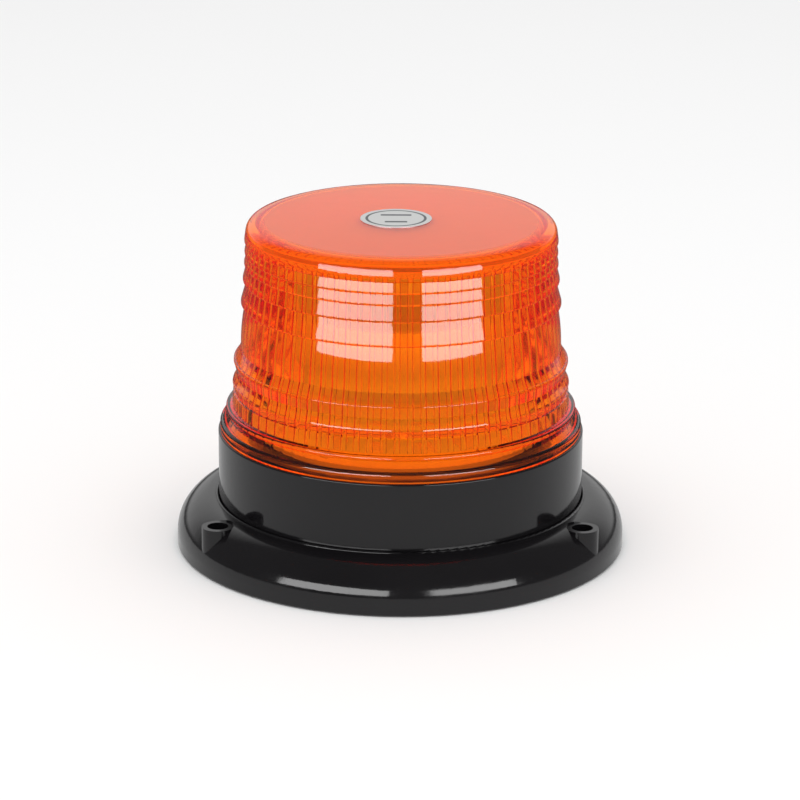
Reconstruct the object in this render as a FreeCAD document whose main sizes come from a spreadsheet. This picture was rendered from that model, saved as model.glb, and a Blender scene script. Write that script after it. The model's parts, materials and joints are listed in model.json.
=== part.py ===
import FreeCAD, Part

# Amber LED warning beacon: a black cup on a screw-down flange, a ribbed amber lens that
# twists off the cup, and the lamp and its driver inside.  Millimetres, +Z up, and the
# origin at the middle of the underside.

import os
import re

import Sketcher

V = FreeCAD.Vector
LEAST_CUT = 1e-6        # cubic millimetres
doc = FreeCAD.newDocument("warning_beacon")
sheet = doc.addObject("Spreadsheet::Sheet", "Dims")

# Driving dimensions.  Radii unless the name says otherwise; a "level" is a height above z = 0.
SIZES = {
    # cup
    "housing_radius": 56.9, "housing_wall": 2.4, "base_height": 37.1, "housing_edge": 0.5,
    "deck_drop": 4.6, "deck_thickness": 2.5,
    # screw-down flange
    "flange_width": 13.1, "flange_side": 3.8, "flange_edge": 0.5, "flange_skin": 2.6,
    "flange_gap": 0.2, "bead_radius": 0.45, "bead_ease": 1.0001, "flange_land": 0.2,
    "lip_width": 12.1, "lip_thickness": 3.0, "boss_radius": 5.0, "boss_inset": 0.5, "boss_drop": 0.6,
    "screw_hole_radius": 3.25, "screw_hole_count": 3,
    # rubber gasket under the flange
    "gasket_thickness": 1.5, "gasket_margin": 1.4, "gasket_gap": 1.2,
    # pan that closes the cup from below, and its screws
    "cover_thickness": 2.0, "cover_clearance": 0.3, "pan_width": 13.0, "pan_underside": 1.0,
    "cover_post_radius": 3.5, "cover_post_inset": 5.0, "cover_screw_shank": 1.5,
    "cover_screw_head": 2.8, "cover_screw_head_height": 1.7, "cover_screw_length": 12.0,
    "cover_screw_count": 3, "pilot_spare": 0.3, "screw_clearance": 0.3,
    "recess_width": 0.8, "recess_depth": 0.8, "recess_span": 1.2,
    # cable grommet
    "cable_radius": 3.0, "grommet_neck": 5.0, "grommet_flange": 7.5, "grommet_lip": 0.8, "grommet_nose": 2.2,
    # driver board and what stands on it
    "driver_radius": 42.0, "driver_level": 12.0, "board_thickness": 1.6, "driver_post_circle": 35.0,
    "driver_post_radius": 3.0, "small_screw_shank": 1.25, "small_screw_head": 2.6,
    "small_screw_head_height": 1.4, "small_screw_length": 6.0, "small_screw_count": 3,
    "input_cap_radius": 5.0, "input_cap_height": 12.5, "output_cap_radius": 4.0,
    "output_cap_height": 9.5, "cap_groove": 0.35, "cap_edge": 0.6,
    "choke_flange_radius": 6.0, "choke_waist_radius": 3.0, "choke_height": 8.0, "choke_flange": 1.5,
    "winding_radius": 5.2,
    "chip_length": 5.0, "chip_width": 4.0, "chip_height": 1.5,
    "transistor_length": 6.6, "transistor_width": 6.1, "transistor_height": 2.3,
    "diode_length": 4.6, "diode_width": 2.6, "diode_height": 2.2, "diode_pitch": 4.4,
    "resistor_length": 3.2, "resistor_width": 1.6, "resistor_height": 0.6, "resistor_pitch": 2.8,
    "terminal_length": 10.0, "terminal_width": 8.0, "terminal_height": 9.0,
    "terminal_entry": 1.5, "terminal_pitch": 5.0, "terminal_entry_depth": 5.0,
    # where the middles of the driver's parts stand, or of the first in a row
    "input_cap_x": -14.0, "input_cap_y": -4.0, "output_cap_x": -26.0, "output_cap_y": -10.0,
    "choke_x": 14.0, "choke_y": -6.0, "terminal_x": 0.0, "terminal_y": -24.0,
    "chip_x": 2.0, "chip_y": 2.0, "transistor_x": 0.0, "transistor_y": -12.0,
    "diode_x": -24.0, "diode_y": 6.0, "resistor_x": 12.0, "resistor_y": 8.0,
    # lamp: aluminium plate, white board, light emitters
    "lamp_radius": 48.0, "spreader_inset": 2.0, "spreader_gap": 1.9, "spreader_thickness": 2.0,
    "lamp_post_circle": 43.5, "lamp_post_radius": 3.2, "lamp_screw_length": 5.0,
    "led_side": 5.0, "led_height": 1.6, "led_well_radius": 1.9, "led_well_depth": 0.4,
    "led_inner_circle": 24.0, "led_inner_count": 10,
    "led_outer_circle": 36.0, "led_outer_count": 15,
    "link_pin_side": 0.7, "link_pin_pitch": 2.54, "link_row": 16.0, "link_slot_length": 12.0,
    "link_slot_width": 4.0,
    # bowl reflector on its post
    "bowl_radius": 36.0, "bowl_flat": 12.0, "bowl_lift": 11.0, "bowl_rim": 3.0, "bowl_skin": 1.6,
    "post_radius": 4.0, "post_bore": 1.3, "stub_wall": 0.25,
    "bowl_screw_head": 3.0, "bowl_screw_head_height": 1.8, "bowl_screw_length": 8.0,
    # lens
    "lens_height": 66.9, "lens_radius": 48.5, "lens_wall": 2.5, "crown_wall": 2.4, "skirt_wall": 2.2,
    "crown_inner_curve": 4.0, "bead_wall": 2.2,
    "skirt_clearance": 0.3, "seal_thickness": 0.7, "seal_margin": 0.3, "brim_gap": 0.1,
    "brim_inset": 0.6, "crown_drop": 3.7, "crown_flat_inset": 6.5,
    "shoulder_inset": 1.83, "shoulder_drop": 0.95, "crown_curve": 12.0, "shoulder_curve": 3.0,
    "ring_step": 0.2,
    # twist lock
    "lock_travel": 22.0, "lug_angle": 12.0, "lug_height": 2.0, "lug_reach": 1.1, "lug_margin": 0.3,
    "lug_angle_margin": 1.5, "lug_count": 3, "entry_relief": 0.1,
    # round label on the crown
    "label_radius": 11.0, "label_thickness": 0.2, "label_offset": 1.7,
}

# Rings of the lens, from the crown down: how far each runs down, and how far its lower tip and
# the root above it stand out from the rim's radius.
RINGS = [
    ("rim_ring", 3.0, 0.0, -0.3),
    ("second_ring", 3.6, -0.7, -0.05),
    ("third_ring", 3.6, -0.6, 0.15),
    ("fourth_ring", 5.05, -0.7, 0.6),
    ("fifth_ring", 7.4, -0.8, 1.25),
]
for ring, drop, root, tip in RINGS:
    SIZES[ring + "_drop"] = drop
    SIZES[ring + "_root"] = root
    SIZES[ring + "_tip"] = tip
SIZES["band_root"] = -0.2

# Outline of the lower lens above its brim: how far each corner stands in from the brim's edge
# and above the brim's underside, and the curve that leaves it upwards.
LOWER_LENS = [
    ("brim_corner", 0.0, 2.0, "convex", 1.6),
    ("flare_foot", 0.9, 3.4, "hollow", 8.0),
    ("collar_foot", 2.4, 6.1, "convex", 1.6),
    ("collar_top", 3.3, 8.0, None, 0),
    ("low_bead_foot", 3.7, 8.2, "convex", 12.0),
    ("low_bead_top", 4.2, 12.5, None, 0),
    ("middle_bead_foot", 4.5, 12.8, "convex", 6.0),
    ("middle_bead_crest", 4.05, 14.9, "convex", 3.6),
    ("middle_bead_top", 5.4, 18.6, None, 0),
    ("upper_bead_foot", 5.2, 18.9, "convex", 8.0),
    ("upper_bead_crest", 4.5, 22.5, "convex", 3.2),
    ("upper_bead_top", 6.5, 26.1, None, 0),
    ("band_foot", 6.65, 26.3, "convex", 60.0),
]
for corner, inset, rise, _bulge, curve in LOWER_LENS:
    SIZES[corner + "_inset"] = inset
    SIZES[corner + "_rise"] = rise
    if curve:
        SIZES[corner + "_curve"] = curve

# Sizes that follow from the driving ones.
DERIVED = {
    "flange_radius": "housing_radius + flange_width",
    "flange_bore": "housing_radius + flange_gap",
    "flange_curve": "flange_width - flange_gap - 2*bead_radius - flange_land",
    "flange_top": "flange_side + flange_curve",
    "lip_radius": "flange_bore - lip_width",
    "lip_top": "gasket_thickness + lip_thickness",
    "boss_circle": "flange_radius - boss_radius - boss_inset",
    "boss_top": "flange_top - boss_drop",
    "housing_inside": "housing_radius - housing_wall",
    "deck_top": "base_height - deck_drop",
    "deck_under": "deck_top - deck_thickness",
    "cover_top": "lip_top + cover_thickness",
    "cover_radius": "flange_bore - cover_clearance",
    "pan_radius": "cover_radius - pan_width",
    "pan_floor": "pan_underside + cover_thickness",
    "gasket_radius": "flange_radius - gasket_margin",
    "gasket_inside": "pan_radius + gasket_gap",
    "cover_post_circle": "housing_inside - cover_post_inset",
    "cover_screw_seat": "gasket_thickness + cover_screw_head_height",
    "driver_top": "driver_level + board_thickness",
    "spreader_level": "deck_top + spreader_gap",
    "lamp_level": "spreader_level + spreader_thickness",
    "lamp_top": "lamp_level + board_thickness",
    "bowl_level": "lamp_top + bowl_lift",
    "bowl_curve": "bowl_radius - bowl_flat",
    "brim_level": "base_height + brim_gap",
    "brim_radius": "housing_radius - brim_inset",
    "skirt_radius": "housing_inside - skirt_clearance",
    "skirt_level": "deck_top + seal_thickness",
    "skirt_inside": "skirt_radius - skirt_wall",
    "crown_level": "base_height + lens_height",
    "rim_level": "crown_level - crown_drop",
    "lug_low": "skirt_level + lug_margin",
    "lug_high": "lug_low + lug_height",
    "slot_radius": "skirt_radius + lug_reach + lug_margin",
}

for row, (alias, size) in enumerate(SIZES.items(), start=1):
    sheet.set(f"A{row}", alias.replace("_", " "))
    sheet.set(f"B{row}", str(size))
    sheet.setAlias(f"B{row}", alias)
doc.recompute()


def bound(formula):
    """The formula with each size named as its cell in the sheet."""
    def name(match):
        word = match.group()
        if word in DERIVED:
            return "(" + bound(DERIVED[word]) + ")"
        return "Dims." + word if word in SIZES else word
    return re.sub(r"[a-z][a-z0-9_]*", name, formula)


def size(formula):
    """The number that the formula gives with the sheet's present values."""
    return float(sheet.evalExpression(bound(formula)))


# ---- sketches and features ----

def body(name):
    part = doc.addObject("PartDesign::Body", name)
    part.Label = name
    return part


def origin_part(part, role):
    return next(item for item in part.Origin.OriginFeatures if item.Role == role)


def new_sketch(part, role, lift="0", turn=None):
    """A sketch on one of the body's origin planes, lifted along its normal or turned about Z."""
    sketch = part.newObject("Sketcher::SketchObject", part.Name + "_sketch")
    sketch.AttachmentSupport = [(origin_part(part, role), "")]
    sketch.MapMode = "FlatFace"
    if lift != "0":
        sketch.setExpression("AttachmentOffset.Base.z", bound(lift))
    if turn:
        sketch.AttachmentOffset = FreeCAD.Placement(V(0, 0, 0), FreeCAD.Rotation(V(0, 1, 0), 1))
        sketch.setExpression("AttachmentOffset.Rotation.Angle", bound(turn))
    return sketch


def hold(sketch, kind, geometry, formula, point=None):
    """One dimension of the sketch, tied to the sheet; without a point it is a radius."""
    number = size(formula)
    if point is None:
        index = sketch.addConstraint(Sketcher.Constraint(kind, geometry, number))
    elif formula == "0":
        axis = -2 if kind == "DistanceX" else -1
        sketch.addConstraint(Sketcher.Constraint("PointOnObject", geometry, point, axis))
        return
    else:
        index = sketch.addConstraint(Sketcher.Constraint(kind, -1, 1, geometry, point, number))
    sketch.setExpression(f"Constraints[{index}]", bound(formula))


def arc_through(start, end, radius, convex):
    """The short arc between two corners of an outline that is drawn anticlockwise."""
    chord = end - start
    half = chord.Length / 2
    across = V(-chord.y, chord.x, 0) / chord.Length
    side = 1 if convex else -1
    sagitta = radius - max(radius * radius - half * half, 0) ** 0.5
    middle = start + chord / 2 - across * (side * sagitta)
    return Part.Arc(start, middle, end) if convex else Part.Arc(end, middle, start)


def outline(part, role, corners, turn=None):
    """A closed outline.  Each corner is (across, up), or (across, up, bulge, radius) where the
    run that leaves it is an arc; the corners go anticlockwise."""
    sketch = new_sketch(part, role, turn=turn)
    places = [V(size(corner[0]), size(corner[1]), 0) for corner in corners]
    starts, ends = [], []
    for index, corner in enumerate(corners):
        here, there = places[index], places[(index + 1) % len(places)]
        convex = len(corner) == 2 or corner[2] == "convex"
        if len(corner) == 2:
            sketch.addGeometry(Part.LineSegment(here, there))
        else:
            sketch.addGeometry(arc_through(here, there, size(corner[3]), convex))
        starts.append((index, 1 if convex else 2))
        ends.append((index, 2 if convex else 1))
    for index in range(len(corners)):
        sketch.addConstraint(Sketcher.Constraint(
            "Coincident", *ends[index], *starts[(index + 1) % len(corners)]))
    for index, corner in enumerate(corners):
        hold(sketch, "DistanceX", index, corner[0], starts[index][1])
        hold(sketch, "DistanceY", index, corner[1], starts[index][1])
        if len(corner) == 4:
            hold(sketch, "Radius", index, corner[3])
    return sketch


def circles(part, lift, rounds):
    """Circles (x, y, radius) on a level plane."""
    sketch = new_sketch(part, "XY_Plane", lift)
    for index, (across, up, radius) in enumerate(rounds):
        sketch.addGeometry(Part.Circle(V(size(across), size(up), 0), V(0, 0, 1), size(radius)))
        hold(sketch, "DistanceX", index, across, 3)
        hold(sketch, "DistanceY", index, up, 3)
        hold(sketch, "Radius", index, radius)
    return sketch


def rectangle(part, lift, centre, length, width):
    """A rectangle on a level plane: centre (x, y), length along X and width along Y."""
    across, up = centre
    left, right = f"{across} - ({length})/2", f"{across} + ({length})/2"
    near, far = f"{up} - ({width})/2", f"{up} + ({width})/2"
    sketch = outline(part, "XY_Plane", [(left, near), (right, near), (right, far), (left, far)])
    sketch.setExpression("AttachmentOffset.Base.z", bound(lift))
    return sketch


def revolve(part, sketch, cut=False, angle=None):
    kind = "PartDesign::Groove" if cut else "PartDesign::Revolution"
    feature = part.newObject(kind, part.Name + ("_groove" if cut else "_turned"))
    feature.Profile = sketch
    feature.ReferenceAxis = (sketch, ["V_Axis"])
    feature.Angle = 360
    if angle:
        feature.Midplane = True
        feature.setExpression("Angle", bound(angle))
    return feature


def pad(part, sketch, height):
    feature = part.newObject("PartDesign::Pad", part.Name + "_pad")
    feature.Profile = sketch
    feature.setExpression("Length", bound(height))
    return feature


def pocket(part, sketch, depth, upwards=False):
    """A cut from the sketch, downwards unless told otherwise."""
    feature = part.newObject("PartDesign::Pocket", part.Name + "_pocket")
    feature.Profile = sketch
    feature.Reversed = upwards
    feature.setExpression("Length", bound(depth))
    return feature


def around(part, features, count):
    """The features repeated evenly about the Z axis."""
    pattern = part.newObject("PartDesign::PolarPattern", part.Name + "_around")
    pattern.Originals = features
    pattern.Axis = (origin_part(part, "Z_Axis"), [""])
    pattern.Angle = 360
    pattern.setExpression("Occurrences", bound(count))
    part.Tip = pattern
    return pattern


def cut_checked(part, make):
    """Runs make and sees that it took material away."""
    doc.recompute()
    before = part.Shape.Volume
    make()
    doc.recompute()
    if part.Shape.Volume >= before - LEAST_CUT:
        raise RuntimeError(f"a cut in {part.Label} removed nothing")


def screws(name, circle, turn, seat, shaft_up, shank, length, head, head_height, count):
    """Pan-head screws with a cross recess on a circle.  seat is the level under the head, and
    the shaft goes up or down from it."""
    part = body(name)
    x, y = (f"({circle})*cos({turn})", f"({circle})*sin({turn})") if circle != "0" else ("0", "0")
    foot = seat if shaft_up else f"({seat}) - ({length})"
    cap = f"({seat}) - ({head_height})" if shaft_up else seat
    features = [pad(part, circles(part, foot, [(x, y, shank)]), length),
                pad(part, circles(part, cap, [(x, y, head)]), head_height)]
    face = cap if shaft_up else f"({seat}) + ({head_height})"
    span = f"recess_span*({head})"
    for long, wide in ((span, "recess_width"), ("recess_width", span)):
        slot = rectangle(part, face, (x, y), long, wide)
        features.append(pocket(part, slot, "recess_depth", upwards=shaft_up))
    if count != "1":
        around(part, features, count)
    return part


def block(name, length, width, height, centre, copies=1, pitch="0"):
    """Rectangular parts in a row along X, standing on the driver board."""
    part = body(name)
    for index in range(copies):
        across = f"{centre[0]} + {index}*({pitch})"
        pad(part, rectangle(part, "driver_top", (across, centre[1]), length, width), height)
    return part


COVER_TURN = "60"       # where the first cover screw stands, in degrees about Z
DRIVER_TURN = "30"      # the same for the driver board's screws
LAMP_TURN = "0"         # and for the lamp's
LINK_PINS = 4
DIODES = 4
RESISTORS = 6


# ---- outside ----

def mounting_flange():
    part = body("mounting_flange")
    channel_inner = "flange_bore + flange_skin"
    channel_offset = "(flange_skin - 2*bead_radius - flange_land)"
    channel_curve = "(flange_curve - flange_skin)"
    bead_outer = "flange_bore + 2*bead_radius"
    revolve(part, outline(part, "XZ_Plane", [
        ("lip_radius", "gasket_thickness"),
        (channel_inner, "gasket_thickness"),
        (channel_inner, f"flange_side + sqrt({channel_curve}^2 - {channel_offset}^2)",
         "hollow", channel_curve),
        ("flange_radius - flange_skin", "flange_side"),
        ("flange_radius - flange_skin", "gasket_thickness"),
        ("gasket_radius", "gasket_thickness"),
        ("gasket_radius", "0"),
        ("flange_radius - flange_edge", "0", "convex", "flange_edge"),
        ("flange_radius", "flange_edge"),
        ("flange_radius", "flange_side", "convex", "flange_curve"),
        ("flange_radius - flange_curve", "flange_top"),
        (bead_outer, "flange_top", "convex", "bead_radius * bead_ease"),
        ("flange_bore", "flange_top"),
        ("flange_bore", "lip_top"),
        ("lip_radius", "lip_top"),
    ]))
    low = "gasket_thickness"
    boss = pad(part, circles(part, low, [("0", "boss_circle", "boss_radius")]), f"boss_top - {low}")
    around(part, [boss], "screw_hole_count")

    def spot_faces():
        face = pocket(part, circles(part, "boss_top", [("0", "boss_circle", "boss_radius")]),
                      "boss_drop + 2*bead_radius", upwards=True)
        around(part, [face], "screw_hole_count")

    def screw_holes():
        hole = pocket(part, circles(part, "boss_top", [("0", "boss_circle", "screw_hole_radius")]),
                      "boss_top")
        around(part, [hole], "screw_hole_count")

    def cover_screw_holes():
        x, y = f"cover_post_circle*cos({COVER_TURN})", f"cover_post_circle*sin({COVER_TURN})"
        hole = pocket(part, circles(part, "lip_top", [(x, y, "cover_screw_shank + screw_clearance")]),
                      "lip_thickness")
        well = pocket(part, circles(part, "0", [(x, y, "cover_screw_head + screw_clearance")]),
                      "cover_screw_seat", upwards=True)
        around(part, [hole, well], "cover_screw_count")

    for cut in (spot_faces, screw_holes, cover_screw_holes):
        cut_checked(part, cut)
    return part


def mounting_gasket():
    part = body("mounting_gasket")
    pad(part, circles(part, "0", [("0", "0", "gasket_radius"), ("0", "0", "gasket_inside")]),
        "gasket_thickness")

    def holes():
        hole = pocket(part, circles(part, "gasket_thickness",
                                    [("0", "boss_circle", "screw_hole_radius")]), "gasket_thickness")
        around(part, [hole], "screw_hole_count")

    cut_checked(part, holes)
    return part


def base_housing():
    part = body("base_housing")
    revolve(part, outline(part, "XZ_Plane", [
        ("housing_inside", "cover_top"),
        ("housing_radius", "cover_top"),
        ("housing_radius", "base_height - housing_edge", "convex", "housing_edge"),
        ("housing_radius - housing_edge", "base_height"),
        ("housing_inside", "base_height"),
        ("housing_inside", "deck_top"),
        ("0", "deck_top"),
        ("0", "deck_under"),
        ("housing_inside", "deck_under"),
    ]))
    posts = (
        ("cover_post_circle", COVER_TURN, "cover_top", "deck_under - cover_top", "cover_post_radius",
         "cover_screw_shank", "cover_screw_length", "cover_screw_count", True),
        ("driver_post_circle", DRIVER_TURN, "driver_top", "deck_under - driver_top",
         "driver_post_radius", "small_screw_shank", "small_screw_length", "small_screw_count", True),
        ("lamp_post_circle", LAMP_TURN, "deck_top", "spreader_gap", "lamp_post_radius",
         "small_screw_shank", "lamp_screw_length - spreader_thickness - board_thickness + pilot_spare",
         "small_screw_count", False),
    )
    for circle, turn, level, height, radius, shank, bore, count, from_below in posts:
        x, y = f"{circle}*cos({turn})", f"{circle}*sin({turn})"
        post = pad(part, circles(part, level, [(x, y, radius)]), height)
        around(part, [post], count)

        def pilot_holes():
            mouth = level if from_below else f"{level} + {height}"
            hole = pocket(part, circles(part, mouth, [(x, y, shank)]), bore, upwards=from_below)
            around(part, [hole], count)

        cut_checked(part, pilot_holes)

    def link_slot():
        pocket(part, rectangle(part, "deck_top", ("0", "link_row"), "link_slot_length",
                               "link_slot_width"), "deck_thickness")

    def lock_slots():
        span = "(lug_angle + 2*lug_angle_margin)"
        for turn, low, high, deep, angle in (
                ("0", "skirt_level", "lug_high + lug_margin", "slot_radius",
                 f"lock_travel + {span}"),
                ("lock_travel/2", "lug_low", "base_height + lug_margin",
                 "slot_radius + entry_relief", span)):
            slot = revolve(part, outline(part, "XZ_Plane", [
                ("skirt_radius", low), (deep, low), (deep, high), ("skirt_radius", high)],
                turn=turn), cut=True, angle=angle)
            around(part, [slot], "lug_count")

    cut_checked(part, link_slot)
    cut_checked(part, lock_slots)
    return part


def bottom_cover():
    part = body("bottom_cover")
    revolve(part, outline(part, "XZ_Plane", [
        ("grommet_neck", "pan_underside"),
        ("pan_radius", "pan_underside"),
        ("pan_radius", "lip_top"),
        ("cover_radius", "lip_top"),
        ("cover_radius", "cover_top"),
        ("pan_radius - cover_thickness", "cover_top"),
        ("pan_radius - cover_thickness", "pan_floor"),
        ("grommet_neck", "pan_floor"),
    ]))

    def screw_holes():
        x, y = f"cover_post_circle*cos({COVER_TURN})", f"cover_post_circle*sin({COVER_TURN})"
        hole = pocket(part, circles(part, "cover_top", [(x, y, "cover_screw_shank + screw_clearance")]),
                      "cover_thickness")
        around(part, [hole], "cover_screw_count")

    cut_checked(part, screw_holes)
    return part


def cable_grommet():
    part = body("cable_grommet")
    revolve(part, outline(part, "XZ_Plane", [
        ("cable_radius", "pan_underside - grommet_lip"),
        ("grommet_flange", "pan_underside - grommet_lip"),
        ("grommet_flange", "pan_underside"),
        ("grommet_neck", "pan_underside"),
        ("grommet_neck", "pan_floor"),
        ("grommet_flange", "pan_floor"),
        ("grommet_flange", "pan_floor + grommet_lip"),
        ("cable_radius + grommet_lip", "pan_floor + grommet_lip + grommet_nose"),
        ("cable_radius", "pan_floor + grommet_lip + grommet_nose"),
    ]))
    return part


# ---- lens, which turns as one with its label ----

def lens():
    part = body("lens")
    corners = [
        ("skirt_inside", "skirt_level"),
        ("skirt_radius", "skirt_level"),
        ("skirt_radius", "brim_level"),
        ("brim_radius", "brim_level"),
    ]
    for corner, _inset, _rise, bulge, _curve in LOWER_LENS:
        place = (f"brim_radius - {corner}_inset", f"brim_level + {corner}_rise")
        corners.append(place + (bulge, f"{corner}_curve") if bulge else place)
    level = "rim_level"
    stack = []
    for ring, _drop, _root, _tip in RINGS:
        top = level if level == "rim_level" else f"{level} - ring_step"
        stack.append((f"lens_radius + {ring}_root", top))
        level = f"{level} - {ring}_drop"
        stack.append((f"lens_radius + {ring}_tip", level))
    stack.append(("lens_radius + band_root", f"{level} - ring_step"))
    corners += reversed(stack[1:])
    corners += [
        ("lens_radius", "rim_level", "convex", "shoulder_curve"),
        ("lens_radius - shoulder_inset", "crown_level - shoulder_drop", "convex", "crown_curve"),
        ("lens_radius - crown_flat_inset", "crown_level"),
        ("0", "crown_level"),
        ("0", "crown_level - crown_wall"),
        ("lens_radius - lens_wall - crown_inner_curve", "crown_level - crown_wall",
         "hollow", "crown_inner_curve"),
        ("lens_radius - lens_wall", "crown_level - crown_wall - crown_inner_curve"),
        ("lens_radius - lens_wall", level),
        ("brim_radius - band_foot_inset - bead_wall", "brim_level + band_foot_rise"),
        ("brim_radius - upper_bead_foot_inset - bead_wall", "brim_level + upper_bead_foot_rise"),
        ("brim_radius - collar_top_inset - bead_wall", "brim_level + collar_top_rise"),
        ("skirt_inside", "brim_level + brim_corner_rise"),
    ]
    revolve(part, outline(part, "XZ_Plane", corners))
    lug = revolve(part, outline(part, "XZ_Plane", [
        ("skirt_inside + skirt_wall/2", "lug_low"), ("skirt_radius + lug_reach", "lug_low"),
        ("skirt_radius + lug_reach", "lug_high"), ("skirt_inside + skirt_wall/2", "lug_high")],
        turn="-lock_travel/2"), angle="lug_angle")
    around(part, [lug], "lug_count")
    return part


def rating_label():
    part = body("rating_label")
    pad(part, circles(part, "crown_level", [("-label_offset", "0", "label_radius")]), "label_thickness")
    return part


def lens_gasket():
    part = body("lens_gasket")
    pad(part, circles(part, "deck_top", [("0", "0", "skirt_radius"),
                                         ("0", "0", "skirt_inside - seal_margin")]), "seal_thickness")
    return part


# ---- lamp: plate, board, emitters and bowl ----

def lamp_disc(name, radius, level, thickness, centre_hole):
    part = body(name)
    pad(part, circles(part, level, [("0", "0", radius), ("0", "0", centre_hole)]), thickness)

    def holes():
        top = f"{level} + {thickness}"
        x, y = f"lamp_post_circle*cos({LAMP_TURN})", f"lamp_post_circle*sin({LAMP_TURN})"
        hole = pocket(part, circles(part, top, [(x, y, "small_screw_shank + screw_clearance")]),
                      thickness)
        around(part, [hole], "small_screw_count")

    cut_checked(part, holes)
    return part


def heat_spreader():
    part = lamp_disc("heat_spreader", "lamp_radius - spreader_inset", "spreader_level",
                     "spreader_thickness", "post_bore + stub_wall")
    cut_checked(part, lambda: pocket(part, rectangle(
        part, "lamp_level", ("0", "link_row"), "link_slot_length", "link_slot_width"),
        "spreader_thickness"))
    return part


def led_board():
    return lamp_disc("led_board", "lamp_radius", "lamp_level", "board_thickness",
                     "post_bore + stub_wall")


def leds():
    part = body("leds")
    for circle, count in (("led_inner_circle", "led_inner_count"),
                          ("led_outer_circle", "led_outer_count")):
        chip = pad(part, rectangle(part, "lamp_top", (circle, "0"), "led_side", "led_side"),
                   "led_height")
        well = pocket(part, circles(part, "lamp_top + led_height", [(circle, "0", "led_well_radius")]),
                      "led_well_depth")
        around(part, [chip, well], count)
    return part


def board_link_pins():
    part = body("board_link_pins")
    for index in range(LINK_PINS):
        across = f"({index} - {(LINK_PINS - 1) / 2})*link_pin_pitch"
        pad(part, rectangle(part, "driver_top", (across, "link_row"), "link_pin_side",
                            "link_pin_side"), "lamp_level - driver_top")
    return part


def reflector_post():
    part = body("reflector_post")
    stub = "post_bore + stub_wall"
    revolve(part, outline(part, "XZ_Plane", [
        ("0", "spreader_level"), (stub, "spreader_level"), (stub, "lamp_top"),
        ("post_radius", "lamp_top"), ("post_radius", "bowl_level"), ("post_bore", "bowl_level"),
        ("post_bore", "bowl_level - bowl_screw_length"), ("0", "bowl_level - bowl_screw_length")]))
    return part


def reflector_bowl():
    part = body("reflector_bowl")
    hole = "small_screw_shank + screw_clearance"
    inner = "bowl_radius - bowl_skin"
    revolve(part, outline(part, "XZ_Plane", [
        (hole, "bowl_level"),
        ("bowl_flat", "bowl_level", "convex", "bowl_curve"),
        ("bowl_radius", "bowl_level + bowl_curve"),
        ("bowl_radius", "bowl_level + bowl_curve + bowl_rim"),
        (inner, "bowl_level + bowl_curve + bowl_rim"),
        (inner, "bowl_level + bowl_curve", "hollow", "bowl_curve - bowl_skin"),
        ("bowl_flat", "bowl_level + bowl_skin"),
        (hole, "bowl_level + bowl_skin"),
    ]))
    return part


# ---- driver board ----

def driver_board():
    part = body("driver_board")
    pad(part, circles(part, "driver_level", [("0", "0", "driver_radius")]), "board_thickness")

    def holes():
        x, y = f"driver_post_circle*cos({DRIVER_TURN})", f"driver_post_circle*sin({DRIVER_TURN})"
        hole = pocket(part, circles(part, "driver_top", [(x, y, "small_screw_shank + screw_clearance")]),
                      "board_thickness")
        around(part, [hole], "small_screw_count")

    cut_checked(part, holes)
    return part


def stand_at(part, across, up):
    """Moves a part that is drawn about the origin to its place on the driver board."""
    for axis, formula in (("x", across), ("y", up), ("z", "driver_top")):
        part.setExpression(f"Placement.Base.{axis}", bound(formula))
    return part


def capacitor(name, radius, height, across, up):
    part = body(name)
    neck = f"{radius} - cap_groove"
    revolve(part, outline(part, "XZ_Plane", [
        ("0", "0"), (radius, "0"), (radius, "2*cap_edge"), (neck, "3*cap_edge"),
        (radius, "4*cap_edge"), (radius, f"{height} - cap_edge", "convex", "cap_edge"),
        (f"{radius} - cap_edge", height), ("0", height)]))
    return stand_at(part, across, up)


def choke_core():
    part = body("choke_core")
    upper = "choke_height - choke_flange"
    revolve(part, outline(part, "XZ_Plane", [
        ("0", "0"), ("choke_flange_radius", "0"), ("choke_flange_radius", "choke_flange"),
        ("choke_waist_radius", "choke_flange"), ("choke_waist_radius", upper),
        ("choke_flange_radius", upper), ("choke_flange_radius", "choke_height"),
        ("0", "choke_height")]))
    return stand_at(part, "choke_x", "choke_y")


def choke_winding():
    part = body("choke_winding")
    pad(part, circles(part, "choke_flange", [("0", "0", "winding_radius"),
                                             ("0", "0", "choke_waist_radius")]),
        "choke_height - 2*choke_flange")
    return stand_at(part, "choke_x", "choke_y")


def input_terminal():
    part = body("input_terminal")
    pad(part, rectangle(part, "0", ("0", "0"), "terminal_length", "terminal_width"),
        "terminal_height")

    def entries():
        pocket(part, circles(part, "terminal_height", [
            ("-terminal_pitch/2", "0", "terminal_entry"), ("terminal_pitch/2", "0", "terminal_entry")]),
            "terminal_entry_depth")

    cut_checked(part, entries)
    return stand_at(part, "terminal_x", "terminal_y")


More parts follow.
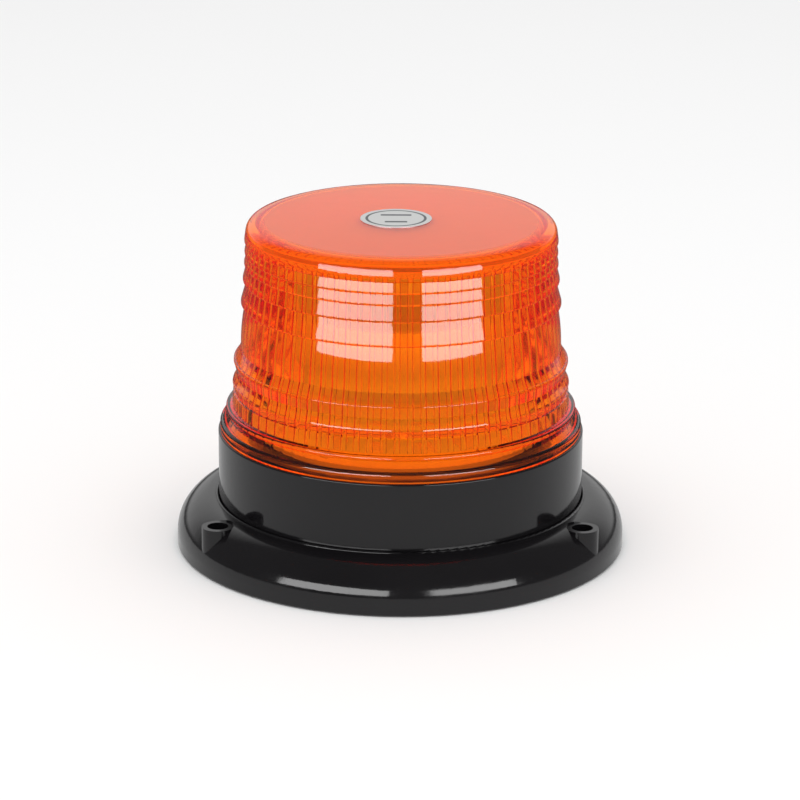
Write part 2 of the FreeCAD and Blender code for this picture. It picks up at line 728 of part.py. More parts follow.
parts = [
    mounting_flange(), mounting_gasket(), base_housing(), bottom_cover(), cable_grommet(),
    lens(), rating_label(), lens_gasket(),
    heat_spreader(), led_board(), leds(), board_link_pins(), reflector_post(), reflector_bowl(),
    driver_board(),
    capacitor("input_capacitor", "input_cap_radius", "input_cap_height", "input_cap_x",
              "input_cap_y"),
    capacitor("output_capacitor", "output_cap_radius", "output_cap_height", "output_cap_x",
              "output_cap_y"),
    choke_core(), choke_winding(), input_terminal(),
    block("driver_chip", "chip_length", "chip_width", "chip_height", ("chip_x", "chip_y")),
    block("switching_transistor", "transistor_length", "transistor_width", "transistor_height",
          ("transistor_x", "transistor_y")),
    block("rectifier_diodes", "diode_width", "diode_length", "diode_height",
          ("diode_x", "diode_y"), DIODES, "diode_pitch"),
    block("sense_resistors", "resistor_width", "resistor_length", "resistor_height",
          ("resistor_x", "resistor_y"), RESISTORS, "resistor_pitch"),
    screws("cover_screws", "cover_post_circle", COVER_TURN, "cover_screw_seat", True,
           "cover_screw_shank", "cover_screw_length", "cover_screw_head", "cover_screw_head_height",
           "cover_screw_count"),
    screws("driver_board_screws", "driver_post_circle", DRIVER_TURN, "driver_level", True,
           "small_screw_shank", "small_screw_length", "small_screw_head", "small_screw_head_height",
           "small_screw_count"),
    screws("led_board_screws", "lamp_post_circle", LAMP_TURN, "lamp_top", False,
           "small_screw_shank", "lamp_screw_length", "small_screw_head", "small_screw_head_height",
           "small_screw_count"),
    screws("reflector_screw", "0", "0", "bowl_level + bowl_skin", False, "small_screw_shank",
           "bowl_screw_length", "bowl_screw_head", "bowl_screw_head_height", "1"),
]
doc.recompute()

for item in doc.Objects:
    if {"Invalid", "Error"} & set(item.State):
        raise RuntimeError(f"{item.Name} failed: {item.State}")

os.makedirs("parts", exist_ok=True)
for part in parts:
    if part.Shape.isNull() or not part.Shape.isValid() or not part.Shape.Solids:
        raise RuntimeError(f"{part.Label} has no valid shape")
    part.Shape.exportStep(f"parts/{part.Label}.step")
    print(f"{part.Label}: {len(part.Shape.Solids)} solids, {part.Shape.Volume:.1f} mm3")
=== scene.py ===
import json
import math

import bpy
from mathutils import Matrix, Vector


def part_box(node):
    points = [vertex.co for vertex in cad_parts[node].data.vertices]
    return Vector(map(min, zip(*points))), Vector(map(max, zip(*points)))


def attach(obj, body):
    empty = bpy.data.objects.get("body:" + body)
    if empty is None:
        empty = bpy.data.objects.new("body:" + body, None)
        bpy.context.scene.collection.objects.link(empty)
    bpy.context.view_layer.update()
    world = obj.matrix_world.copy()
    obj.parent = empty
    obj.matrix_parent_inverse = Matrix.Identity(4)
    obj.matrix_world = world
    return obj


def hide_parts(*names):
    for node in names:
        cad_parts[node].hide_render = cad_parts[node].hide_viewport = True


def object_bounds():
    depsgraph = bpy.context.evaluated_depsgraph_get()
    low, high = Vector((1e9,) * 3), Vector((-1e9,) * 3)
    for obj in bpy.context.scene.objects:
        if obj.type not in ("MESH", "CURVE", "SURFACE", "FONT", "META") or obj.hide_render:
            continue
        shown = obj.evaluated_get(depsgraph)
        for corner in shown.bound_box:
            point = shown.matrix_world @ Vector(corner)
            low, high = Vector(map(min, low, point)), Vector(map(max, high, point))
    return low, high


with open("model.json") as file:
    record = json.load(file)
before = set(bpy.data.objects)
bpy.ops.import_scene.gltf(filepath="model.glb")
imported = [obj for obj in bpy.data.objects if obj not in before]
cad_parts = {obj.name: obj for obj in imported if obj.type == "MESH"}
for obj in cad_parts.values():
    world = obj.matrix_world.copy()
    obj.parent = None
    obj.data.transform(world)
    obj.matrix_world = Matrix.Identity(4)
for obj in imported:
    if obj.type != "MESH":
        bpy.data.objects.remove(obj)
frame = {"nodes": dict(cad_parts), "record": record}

cad_low, cad_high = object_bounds()
MM = 0.001
TAU = 2 * math.pi
# Edges that turn by more than this many degrees stay sharp.
SHARP_ANGLE = 30.0


# ---------------------------------------------------------------- node helpers

def new_material(name):
    """An empty material with a Principled shader; returns the material, its tree and the shader."""
    made = bpy.data.materials.new(name)
    made.use_nodes = True
    tree = made.node_tree
    shader = tree.nodes["Principled BSDF"]
    return made, tree, shader


def node(tree, kind, **settings):
    """A node of that kind with its properties set."""
    made = tree.nodes.new(kind)
    for name, value in settings.items():
        setattr(made, name, value)
    return made


def object_place(tree):
    """The point on the piece in the row frame, in metres."""
    return node(tree, "ShaderNodeTexCoord").outputs["Object"]


def scaled(tree, place, stretch):
    """The place stretched by its own factor along X, Y and Z."""
    mapping = node(tree, "ShaderNodeMapping")
    mapping.inputs["Scale"].default_value = stretch
    tree.links.new(place, mapping.inputs["Vector"])
    return mapping.outputs["Vector"]


def noise(tree, place, scale, detail=3.0, rough=0.5):
    """Soft noise from 0 to 1; scale is in waves per metre."""
    made = node(tree, "ShaderNodeTexNoise")
    made.inputs["Scale"].default_value = scale
    made.inputs["Detail"].default_value = detail
    made.inputs["Roughness"].default_value = rough
    tree.links.new(place, made.inputs["Vector"])
    return made.outputs["Fac"]


def math_node(tree, operation, first, second=None):
    """A Math node; either input may be a number or a socket."""
    made = node(tree, "ShaderNodeMath", operation=operation)
    for slot, value in zip(made.inputs, (first, second)):
        if value is None:
            continue
        if isinstance(value, (int, float)):
            slot.default_value = value
        else:
            tree.links.new(value, slot)
    return made.outputs["Value"]


def spread(tree, value, low, high, out_low=0.0, out_high=1.0):
    """Value mapped from low..high to out_low..out_high, held at the ends."""
    made = node(tree, "ShaderNodeMapRange")
    made.inputs["From Min"].default_value = low
    made.inputs["From Max"].default_value = high
    made.inputs["To Min"].default_value = out_low
    made.inputs["To Max"].default_value = out_high
    tree.links.new(value, made.inputs["Value"])
    return made.outputs["Result"]


def colour_mix(tree, factor, first, second):
    """Colour first where the factor is 0 and second where it is 1."""
    made = node(tree, "ShaderNodeMix", data_type="RGBA")
    tree.links.new(factor, made.inputs["Factor"])
    for slot, value in ((made.inputs[6], first), (made.inputs[7], second)):
        if isinstance(value, tuple):
            slot.default_value = (*value, 1.0)
        else:
            tree.links.new(value, slot)
    return made.outputs[2]


def bump(tree, shader, height, distance, strength=1.0):
    """Relief from a height of 0 to 1, distance metres tall."""
    made = node(tree, "ShaderNodeBump")
    made.inputs["Strength"].default_value = strength
    made.inputs["Distance"].default_value = distance
    tree.links.new(height, made.inputs["Height"])
    tree.links.new(made.outputs["Normal"], shader.inputs["Normal"])


def plan_place(tree, place, centre):
    """Distance from a vertical axis through centre, and the offsets from it along X and Y."""
    split = node(tree, "ShaderNodeSeparateXYZ")
    tree.links.new(place, split.inputs["Vector"])
    x = math_node(tree, "SUBTRACT", split.outputs["X"], centre[0])
    y = math_node(tree, "SUBTRACT", split.outputs["Y"], centre[1])
    x_square = math_node(tree, "MULTIPLY", x, x)
    y_square = math_node(tree, "MULTIPLY", y, y)
    return math_node(tree, "SQRT", math_node(tree, "ADD", x_square, y_square)), x, y


def band(tree, value, middle, half_width, soft):
    """1 within half_width of middle, falling to 0 over soft."""
    away = math_node(tree, "ABSOLUTE", math_node(tree, "SUBTRACT", value, middle))
    return spread(tree, away, half_width, half_width + soft, 1.0, 0.0)


def plastic(name, low, high, rough, grain=0.00002, grain_scale=900.0):
    """Moulded plastic: cloudy colour, uneven gloss and a fine orange peel."""
    made, tree, shader = new_material(name)
    place = object_place(tree)
    cloud = noise(tree, place, 60.0)
    tree.links.new(colour_mix(tree, cloud, low, high), shader.inputs["Base Color"])
    smear = noise(tree, scaled(tree, place, (1.0, 1.0, 3.0)), 45.0, detail=5.0, rough=0.6)
    tree.links.new(spread(tree, smear, 0.3, 0.75, *rough), shader.inputs["Roughness"])
    bump(tree, shader, noise(tree, place, grain_scale, detail=2.0), grain)
    return made


def metal(name, low, high, rough, brushed=(1.0, 1.0, 1.0), grain=0.00001, metallic=1.0):
    """Metal with brushed or rolled lines stretched along one direction."""
    made, tree, shader = new_material(name)
    place = object_place(tree)
    lines = noise(tree, scaled(tree, place, brushed), 700.0, detail=4.0, rough=0.65)
    tree.links.new(colour_mix(tree, lines, low, high), shader.inputs["Base Color"])
    tree.links.new(spread(tree, lines, 0.3, 0.7, *rough), shader.inputs["Roughness"])
    shader.inputs["Metallic"].default_value = metallic
    bump(tree, shader, lines, grain)
    return made


# ---------------------------------------------------------------- materials

LENS_IOR = 1.585
# The lens's body colour, and how strongly it absorbs along a ray, per metre.
LENS_TINT = (0.997, 0.78, 0.02, 1.0)
LENS_DENSITY = 620.0
# What is left of the light that reaches the parts inside.
LENS_PASSES = (1.0, 0.97, 0.5, 1.0)
# Print on the label as shares of its radius: the ring's radius, half its width and its soft edge,
# then half a bar's width and its soft edge.
LABEL_PRINT = (0.82, 0.03, 0.015, 0.065, 0.02)
# Each bar's half length and its place across the label.
LABEL_BARS = ((0.42, 0.34), (0.30, -0.38))


def black_abs():
    """Gloss black moulding with faint flow marks, handling haze and fine scratches."""
    made, tree, shader = new_material("black_abs")
    place = object_place(tree)
    cloud = noise(tree, place, 35.0, detail=4.0)
    tree.links.new(
        colour_mix(tree, cloud, (0.004, 0.0036, 0.0042), (0.008, 0.0073, 0.0082)),
        shader.inputs["Base Color"],
    )
    haze = noise(tree, scaled(tree, place, (1.0, 1.0, 2.2)), 28.0, detail=6.0, rough=0.6)
    scratch = noise(tree, scaled(tree, place, (1.0, 1.0, 0.06)), 1500.0, detail=2.0)
    worn = spread(tree, scratch, 0.66, 0.74, 0.0, 0.08)
    gloss = math_node(tree, "ADD", spread(tree, haze, 0.35, 0.75, 0.07, 0.17), worn)
    tree.links.new(gloss, shader.inputs["Roughness"])
    peel = noise(tree, place, 420.0, detail=2.0)
    bump(tree, shader, peel, 0.000018)
    return made


def amber_glass(name="amber_lens", rough=(0.015, 0.05), see_through=1.0):
    """Clear amber polycarbonate; light for the parts inside and for shadows passes straight on."""
    made, tree, shader = new_material(name)
    place = object_place(tree)
    flow = noise(tree, scaled(tree, place, (1.0, 1.0, 0.5)), 50.0, detail=3.0)
    tree.links.new(
        colour_mix(tree, flow, (0.99, 0.46, 0.03), (1.0, 0.53, 0.045)),
        shader.inputs["Base Color"],
    )
    tree.links.new(spread(tree, flow, 0.3, 0.7, *rough), shader.inputs["Roughness"])
    bump(tree, shader, noise(tree, place, 220.0, detail=2.0), 0.00001)
    shader.inputs["Transmission Weight"].default_value = see_through
    shader.inputs["IOR"].default_value = LENS_IOR
    path = node(tree, "ShaderNodeLightPath")
    clear = node(tree, "ShaderNodeBsdfTransparent")
    clear.inputs["Color"].default_value = LENS_PASSES
    mix = node(tree, "ShaderNodeMixShader")
    lets_through = math_node(
        tree, "MAXIMUM", path.outputs["Is Shadow Ray"], path.outputs["Is Diffuse Ray"]
    )
    tree.links.new(lets_through, mix.inputs["Fac"])
    tree.links.new(shader.outputs["BSDF"], mix.inputs[1])
    tree.links.new(clear.outputs["BSDF"], mix.inputs[2])
    output = tree.nodes["Material Output"]
    tree.links.new(mix.outputs["Shader"], output.inputs["Surface"])
    tint = node(tree, "ShaderNodeVolumeAbsorption")
    tint.inputs["Color"].default_value = LENS_TINT
    tint.inputs["Density"].default_value = LENS_DENSITY
    tree.links.new(tint.outputs["Volume"], output.inputs["Volume"])
    return made


def label_foil():
    """Satin silver foil with a printed ring and two plain bars."""
    made, tree, shader = new_material("label_foil")
    place = object_place(tree)
    low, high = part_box("rating_label")
    centre = ((low[0] + high[0]) / 2, (low[1] + high[1]) / 2)
    label_radius = (high[0] - low[0]) / 2
    radius, x, y = plan_place(tree, place, centre)
    ring, ring_stroke, ring_soft, stroke, soft = (label_radius * share for share in LABEL_PRINT)
    marks = band(tree, radius, ring, ring_stroke, ring_soft)
    for half_length, row in LABEL_BARS:
        along = band(tree, x, 0.0, label_radius * half_length, soft)
        across = band(tree, y, label_radius * row, stroke, soft)
        marks = math_node(tree, "MAXIMUM", marks, math_node(tree, "MULTIPLY", along, across))
    grain = noise(tree, scaled(tree, place, (1.0, 14.0, 1.0)), 900.0, detail=3.0)
    foil = colour_mix(tree, grain, (0.60, 0.61, 0.60), (0.74, 0.75, 0.74))
    tree.links.new(colour_mix(tree, marks, foil, (0.10, 0.11, 0.12)), shader.inputs["Base Color"])
    tree.links.new(spread(tree, grain, 0.3, 0.7, 0.32, 0.48), shader.inputs["Roughness"])
    shader.inputs["Metallic"].default_value = 0.55
    bump(tree, shader, grain, 0.000006)
    return made


MATERIALS = {
    "black_abs": black_abs,
    "black_rubber": lambda: plastic(
        "black_rubber", (0.014, 0.014, 0.014), (0.028, 0.027, 0.026), (0.62, 0.85), 0.00008, 1400.0
    ),
    "amber_lens": amber_glass,
    "label_foil": label_foil,
    "spreader_aluminium": lambda: metal(
        "spreader_aluminium", (0.70, 0.70, 0.71), (0.86, 0.86, 0.87), (0.28, 0.5), (0.05, 1.0, 1.0)
    ),
    "white_board": lambda: plastic(
        "white_board", (0.82, 0.82, 0.78), (0.92, 0.92, 0.88), (0.35, 0.55)
    ),
    "led_chip": lambda: plastic("led_chip", (0.90, 0.62, 0.12), (0.98, 0.78, 0.25), (0.15, 0.3)),
    "tinned_pin": lambda: metal("tinned_pin", (0.62, 0.60, 0.57), (0.82, 0.80, 0.77), (0.18, 0.4)),
    "post_brass": lambda: metal("post_brass", (0.72, 0.50, 0.22), (0.88, 0.68, 0.34), (0.2, 0.38)),
    "bowl_chrome": lambda: metal(
        "bowl_chrome", (0.86, 0.86, 0.86), (0.94, 0.94, 0.94), (0.3, 0.42), metallic=0.45
    ),
    "green_board": lambda: plastic(
        "green_board", (0.015, 0.14, 0.05), (0.03, 0.22, 0.09), (0.3, 0.5)
    ),
    "capacitor_can": lambda: plastic(
        "capacitor_can", (0.02, 0.03, 0.07), (0.04, 0.05, 0.11), (0.2, 0.4)
    ),
    "ferrite": lambda: plastic(
        "ferrite", (0.03, 0.03, 0.03), (0.07, 0.07, 0.075), (0.6, 0.85), 0.00012
    ),
    "copper_wire": lambda: metal(
        "copper_wire", (0.50, 0.20, 0.08), (0.80, 0.38, 0.17), (0.2, 0.36), (0.1, 0.1, 3.0), 0.00015
    ),
    "terminal_plastic": lambda: plastic(
        "terminal_plastic", (0.02, 0.17, 0.06), (0.05, 0.27, 0.11), (0.35, 0.55)
    ),
    "chip_epoxy": lambda: plastic(
        "chip_epoxy", (0.018, 0.018, 0.018), (0.04, 0.04, 0.04), (0.5, 0.75)
    ),
    "resistor_ceramic": lambda: plastic(
        "resistor_ceramic", (0.03, 0.03, 0.035), (0.07, 0.07, 0.08), (0.25, 0.5)
    ),
    "screw_steel": lambda: metal(
        "screw_steel", (0.50, 0.50, 0.52), (0.72, 0.72, 0.74), (0.25, 0.45), (1.0, 1.0, 0.2)
    ),
}


# ---------------------------------------------------------------- lens

# Outside of the lens from its foot up, in millimetres: radius, height, and the radius of the arc
# to the next point: above 0 it bulges outward, below 0 it is hollow, 0 is straight.
LENS_FOOT = ((52.0, 33.2, 0), (54.2, 33.2, 0), (54.2, 37.2, 0), (56.3, 37.2, 0))
LENS_SKIRT = ((56.3, 39.2, 1.4), (55.4, 40.6, 0), (53.9, 43.3, 0.9), (53.2, 45.0, 0))
LENS_BEADS = (
    (52.5, 45.4, 0), (52.2, 49.7, 0), (51.8, 50.0, 0), (52.2, 52.0, 0.7), (51.95, 53.0, 0),
    (50.9, 55.8, 0), (51.1, 56.1, 0), (51.75, 59.0, 0.8), (51.3, 60.3, 0), (49.8, 63.3, 0),
    (49.65, 63.5, 60.0), (48.3, 77.45, 0),
)
# Rings above them: the radius and height of each ring's tip, then of the root where it ends above.
LENS_RINGS = (
    (49.75, 77.65, 47.7, 84.85), (49.1, 85.05, 47.8, 89.9), (48.65, 90.1, 47.75, 93.5),
    (48.5, 93.7, 47.6, 97.1), (48.45, 97.3, 48.0, 100.6),
)
# Radius of a ring's rounded tip, and how far the rounding starts below it and ends above it.
TIP_ROUND, TIP_UNDER, TIP_OVER = 0.7, 0.15, 0.75
LENS_CROWN = ((48.0, 100.6, 3.2), (46.3, 103.1, 12.0), (42.0, 104.0, 0))
LENS_INSIDE = (
    (42.0, 101.6, -4.0), (46.0, 97.6, 0), (46.0, 77.65, 0), (47.45, 63.5, 0), (48.9, 56.1, 0),
    (50.2, 44.2, 0), (52.0, 39.2, 0), (52.0, 33.2, 0),
)
# Upright flutes cut into the inside: how many, how deep, how much of the pitch each takes, the
# heights they run between and the height over which they fade out at each end.
FLUTES, FLUTE_DEPTH, FLUTE_SHARE = 78, 0.55, 0.46
FLUTE_LOW, FLUTE_HIGH, FLUTE_FADE = 45.5, 98.5, 0.8
# Where the columns of the mesh stand, in flute widths from a flute's edge: across it, then beyond.
FLUTE_PHASES = (0.0, 0.05, 0.2, 0.5, 0.8, 0.95, 1.0)
PANEL_PHASES = (1.4, 1.8)
# Locking lugs: how many, the first one's middle and width in degrees, and its steps round the foot.
LUGS, LUG_MIDDLE, LUG_WIDTH, LUG_STEPS = 3, -11.0, 12.0, 8
# A lug's corners as radius and height.
LUG_CORNERS = ((53.9, 33.5), (55.3, 33.5), (55.3, 35.5), (53.9, 35.5))
# About how long a mesh step is along an arc and along a straight.
ARC_STEP, SPAN_STEP = 0.45, 4.0
# Least ratio of an arc's radius to half its chord.
ARC_SPARE = 1.001
TWIST_AXIS = frame["record"]["behaviour"]["joints"][0]["pos_m"]
LENS_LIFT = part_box("lens")[0].z - LENS_FOOT[0][1] * MM


def arc_points(first, second, bend):
    """Points from first up to but not including second, along a line or an arc of radius bend."""
    (r0, z0), (r1, z1) = first, second
    chord = math.hypot(r1 - r0, z1 - z0)
    if bend == 0:
        steps = max(1, round(chord / SPAN_STEP))
        return [(r0 + (r1 - r0) * i / steps, z0 + (z1 - z0) * i / steps) for i in range(steps)]
    size = max(abs(bend), chord / 2 * ARC_SPARE)
    half = math.asin(chord / 2 / size)
    ahead = ((r1 - r0) / chord, (z1 - z0) / chord)
    outward = (ahead[1], -ahead[0]) if bend > 0 else (-ahead[1], ahead[0])
    steps = max(2, round(2 * half * size / ARC_STEP))
    made = []
    for i in range(steps):
        turn = -half + 2 * half * i / steps
        along = chord / 2 + size * math.sin(turn)
        rise = size * (math.cos(turn) - math.cos(half))
        made.append(tuple(
            start + ahead_by * along + outward_by * rise
            for start, ahead_by, outward_by in zip(first, ahead, outward)
        ))
    return made


def profile(points):
    """The (radius, height) points of an outline, arcs included, in millimetres."""
    made = []
    for (*start, bend), (*end, _next_bend) in zip(points, points[1:]):
        made += arc_points(start, end, bend)
    made.append(points[-1][:2])
    return made


def ring_points():
    """The rings as outline points: each has a rounded tip and a straight flank up to its root."""
    made = []
    for tip_radius, tip_height, root_radius, root_height in LENS_RINGS:
        lean = (root_radius - tip_radius) / (root_height - tip_height)
        made.append((tip_radius - TIP_ROUND, tip_height - TIP_UNDER, TIP_ROUND))
        made.append((tip_radius + lean * TIP_OVER, tip_height + TIP_OVER, 0))
        made.append((root_radius, root_height, 0))
    return tuple(made[:-1])


def ease(value):
    """0 below 0, 1 above 1, and smooth between."""
    held = min(1.0, max(0.0, value))
    return held * held * (3 - 2 * held)


def flute_depth(height):
    """How deep the flutes are at this height: full along the wall, gone at both ends."""
    low = ease((height - FLUTE_LOW) / FLUTE_FADE)
    high = ease((FLUTE_HIGH - height) / FLUTE_FADE)
    return FLUTE_DEPTH * low * high


def flute_turns():
    """The angle of every column round the lens, and the share of the flute's depth it has."""
    made = []
    for flute in range(FLUTES):
        for phase in FLUTE_PHASES + PANEL_PHASES:
            share = math.sqrt(max(0.0, 1 - (2 * phase - 1) ** 2))
            made.append((TAU * (flute + phase * FLUTE_SHARE) / FLUTES, share))
    return made


def lens_place(radius, turn, height):
    """A point of the lens in metres, about the twist axis and above the CAD lens's foot."""
    reach = radius * MM
    return (
        TWIST_AXIS[0] + reach * math.cos(turn),
        TWIST_AXIS[1] + reach * math.sin(turn),
        LENS_LIFT + height * MM,
    )


def lens_mesh():
    """The lens as one closed skin, ringed outside and fluted inside, with its lugs.  Returns its
    vertices, its faces and how many faces come before those of the crown's underside, the last."""
    outside = profile(LENS_FOOT + LENS_SKIRT + LENS_BEADS + ring_points() + LENS_CROWN)
    inside = profile(LENS_INSIDE)[:-1]
    turns = flute_turns()
    count = len(turns)
    verts, faces = [], []

    def ring(radius, height, depth=0.0):
        start = len(verts)
        for turn, share in turns:
            verts.append(lens_place(radius + depth * share, turn, height))
        return start

    def join(first, second):
        for i in range(count):
            after = (i + 1) % count
            faces.append((first + i, first + after, second + after, second + i))

    def close(edge, height, flip):
        middle = len(verts)
        verts.append(lens_place(0.0, 0.0, height))
        for i in range(count):
            pair = (edge + i, edge + (i + 1) % count)
            faces.append((*(reversed(pair) if flip else pair), middle))

    outer = [ring(r, z) for r, z in outside]
    for low, high in zip(outer, outer[1:]):
        join(low, high)
    close(outer[-1], outside[-1][1], flip=False)
    inner = [ring(r, z, flute_depth(z)) for r, z in inside]
    for high, low in zip(inner, inner[1:]):
        join(high, low)
    join(inner[-1], outer[0])
    add_lugs(verts, faces)
    plain = len(faces)
    close(inner[0], inside[0][1], flip=True)
    return verts, faces, plain


def add_lugs(verts, faces):
    """The locking lugs, each a short curved block let into the outside of the foot."""
    for lug in range(LUGS):
        start = len(verts)
        for i in range(LUG_STEPS + 1):
            turn = math.radians(LUG_MIDDLE + LUG_WIDTH * (i / LUG_STEPS - 0.5)) + TAU * lug / LUGS
            verts += [lens_place(radius, turn, height) for radius, height in LUG_CORNERS]
        count = len(LUG_CORNERS)
        last = start + count * LUG_STEPS
        for near in range(start, last, count):
            for side in range(count):
                after = (side + 1) % count
                faces.append((near + side, near + count + side, near + count + after, near + after))
        faces.append(tuple(range(start, start + count)))
        faces.append(tuple(reversed(range(last, last + count))))


def mesh_piece(name, verts, faces, material):
    """A mesh object with its sharp edges kept sharp and the rest smooth."""
    mesh = bpy.data.meshes.new(name)
    mesh.from_pydata(verts, [], faces)
    mesh.validate()
    mesh.materials.append(material)
    piece = bpy.data.objects.new(name, mesh)
    bpy.context.scene.collection.objects.link(piece)
    mesh.polygons.foreach_set("use_smooth", [True] * len(mesh.polygons))
    mesh.set_sharp_from_angle(angle=math.radians(SHARP_ANGLE))
    return piece


def make_lens(material, frosted):
    """The moulded lens in place of the CAD one, with the underside of its crown frosted."""
    verts, faces, plain = lens_mesh()
    lens = mesh_piece("amber_lens_moulding", verts, faces, material)
    lens.data.materials.append(frosted)
    for face in lens.data.polygons[plain:]:
        face.material_index = 1
    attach(lens, "lens_body")
    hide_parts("lens")


# ---------------------------------------------------------------- stage

FLOOR_HALF_SIDE, FLOOR_DROP = 8.0, 0.0002
# How bright the surround is: for light and the camera, seen through the lens, and in reflections
# in front and behind.
SURROUND, SURROUND_THROUGH = 0.9, 1.3
MIRROR_FRONT, MIRROR_BEHIND = 0.12, 0.74
# The two cards: their ends in plan, then the heights they run between and their radiance.
CARDS = (
    ("left_card", (-0.732, -0.418), (-0.086, -0.846)),
    ("right_card", (0.214, -0.822), (0.718, -0.443)),
)
CARD_LOW, CARD_HIGH, CARD_RADIANCE = 0.053, 0.30, 6.4
OVERHEAD_PLACE, OVERHEAD_SIDES, OVERHEAD_RADIANCE = (0.0, -0.25, 1.3), (1.2, 1.0), 1.6
TABLE_HEIGHT, TABLE_ACROSS, TABLE_RADIANCE = -0.002, 0.37, 0.38
CAMERA_DISTANCE, CAMERA_PITCH, CAMERA_ROLL = 1.2001, math.radians(17.82), 0.0046
CAMERA_AIM, CAMERA_SENSOR, CAMERA_LENS, CAMERA_SHIFT = 0.0455, 36.0, 173.1, -0.0009


def make_stage():
    """A pale floor, an even white surround and soft lights."""
    mesh = bpy.data.meshes.new("floor")
    side = FLOOR_HALF_SIDE
    corners = [(-side, -side, 0), (side, -side, 0), (side, side, 0), (-side, side, 0)]
    mesh.from_pydata(corners, [], [(0, 1, 2, 3)])
    floor = bpy.data.objects.new("floor", mesh)
    floor.location.z = cad_low.z - FLOOR_DROP
    bpy.context.scene.collection.objects.link(floor)
    made, tree, shader = new_material("floor_paper")
    shade = noise(tree, object_place(tree), 2.0)
    tree.links.new(
        colour_mix(tree, shade, (0.88, 0.88, 0.88), (0.9, 0.9, 0.9)), shader.inputs["Base Color"]
    )
    shader.inputs["Roughness"].default_value = 0.9
    mesh.materials.append(made)
    floor.visible_glossy = False
    floor.visible_shadow = False
    make_world()


def make_world():
    """White all round for light, and brighter where it shows through the lens.  Reflections see a
    dark room with a white background behind the beacon."""
    world = bpy.data.worlds.new("surround")
    world.use_nodes = True
    tree = world.node_tree
    split = node(tree, "ShaderNodeSeparateXYZ")
    tree.links.new(node(tree, "ShaderNodeTexCoord").outputs["Generated"], split.inputs["Vector"])
    behind = spread(tree, split.outputs["Y"], 0.5, 0.8)
    above = spread(tree, split.outputs["Z"], -0.02, 0.06)
    seen = math_node(tree, "MULTIPLY", behind, above)
    mirrored = spread(tree, seen, 0.0, 1.0, MIRROR_FRONT, MIRROR_BEHIND)
    path = node(tree, "ShaderNodeLightPath")
    straight = math_node(tree, "SUBTRACT", 1.0, path.outputs["Is Transmission Ray"])
    reflected = math_node(tree, "MULTIPLY", path.outputs["Is Glossy Ray"], straight)
    strength = node(tree, "ShaderNodeMix", data_type="FLOAT")
    tree.links.new(reflected, strength.inputs["Factor"])
    through = path.outputs["Is Transmission Ray"]
    tree.links.new(
        spread(tree, through, 0.0, 1.0, SURROUND, SURROUND_THROUGH), strength.inputs[2]
    )
    tree.links.new(mirrored, strength.inputs[3])
    background = tree.nodes["Background"]
    background.inputs["Color"].default_value = (1.0, 1.0, 1.0, 1.0)
    tree.links.new(strength.outputs[0], background.inputs["Strength"])
    bpy.context.scene.world = world


def panel(name, place, target, width, height, radiance, diffuse=True):
    """A rectangular light at place that faces target; radiance is how bright a mirror shows it."""
    data = bpy.data.lights.new(name, "AREA")
    data.shape = "RECTANGLE"
    data.size = width
    data.size_y = height
    data.energy = radiance * math.pi * width * height
    light = bpy.data.objects.new(name, data)
    light.location = place
    light.rotation_mode = "QUATERNION"
    light.rotation_quaternion = (Vector(target) - Vector(place)).to_track_quat("-Z", "Y")
    light.visible_camera = False
    light.visible_diffuse = diffuse
    light.visible_transmission = False
    bpy.context.scene.collection.objects.link(light)
    return light


def card(name, start, end, low, high, radiance):
    """An upright light between two plan points, seen only in reflections."""
    middle = ((start[0] + end[0]) / 2, (start[1] + end[1]) / 2, (low + high) / 2)
    width = math.hypot(end[0] - start[0], end[1] - start[1])
    across = Vector((end[0] - start[0], end[1] - start[1], 0)).normalized()
    facing = Vector((-across.y, across.x, 0))
    if facing.dot(Vector(middle)) > 0:
        facing = -facing
    target = Vector(middle) + Vector((facing.x, facing.y, 0))
    return panel(name, middle, target, width, high - low, radiance, diffuse=False)


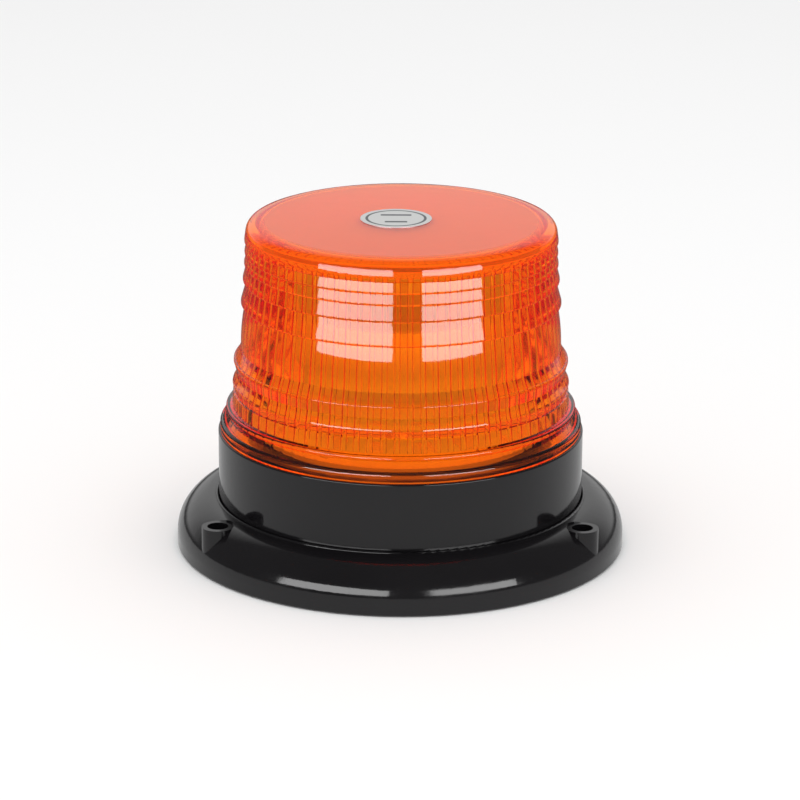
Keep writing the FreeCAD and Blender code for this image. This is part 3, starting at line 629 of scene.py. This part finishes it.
def make_lights():
    """Soft light from above, a glow that only the black parts reflect, and the two cards."""
    overhead = panel(
        "overhead_softbox", OVERHEAD_PLACE, (0.0, 0.0, 0.0), *OVERHEAD_SIDES, OVERHEAD_RADIANCE
    )
    overhead.visible_glossy = False
    table = panel(
        "table_glow", (0.0, 0.0, TABLE_HEIGHT), (0.0, 0.0, 1.0),
        TABLE_ACROSS, TABLE_ACROSS, TABLE_RADIANCE, diffuse=False,
    )
    table.data.shape = "DISK"
    lit = bpy.data.collections.new("lit_by_table")
    for name in ("mounting_flange", "base_housing"):
        lit.objects.link(frame["nodes"][name])
    table.light_linking.receiver_collection = lit
    for name, start, end in CARDS:
        card(name, start, end, CARD_LOW, CARD_HIGH, CARD_RADIANCE)


def make_camera():
    """The camera in front of the beacon, a little above it."""
    aim_height = cad_low.z + CAMERA_AIM
    data = bpy.data.cameras.new("camera")
    data.sensor_width = CAMERA_SENSOR
    data.lens = CAMERA_LENS
    data.shift_x = CAMERA_SHIFT
    data.dof.use_dof = False
    camera = bpy.data.objects.new("camera", data)
    back = CAMERA_DISTANCE * math.cos(CAMERA_PITCH)
    above = CAMERA_DISTANCE * math.sin(CAMERA_PITCH)
    tilt = Matrix.Rotation(math.pi / 2 - CAMERA_PITCH, 4, "X")
    roll = Matrix.Rotation(CAMERA_ROLL, 4, "Z")
    camera.matrix_world = Matrix.Translation((0.0, -back, aim_height + above)) @ tilt @ roll
    bpy.context.scene.collection.objects.link(camera)
    bpy.context.scene.camera = camera


# ---------------------------------------------------------------- build

made_materials = {slot: make() for slot, make in MATERIALS.items()}
for subpart in frame["record"]["subparts"]:
    cad_node = frame["nodes"][subpart["node"]]
    for place in cad_node.material_slots:
        place.material = made_materials[subpart["material_slot"]]

crown_underside = amber_glass("amber_crown_underside", (0.45, 0.6), see_through=0.6)
make_lens(made_materials["amber_lens"], crown_underside)
make_stage()
make_lights()
make_camera()
scene = bpy.context.scene
scene.view_settings.view_transform = "Standard"
scene.cycles.max_bounces = 24
scene.cycles.glossy_bounces = 16
scene.cycles.transmission_bounces = 24
scene.cycles.transparent_max_bounces = 24
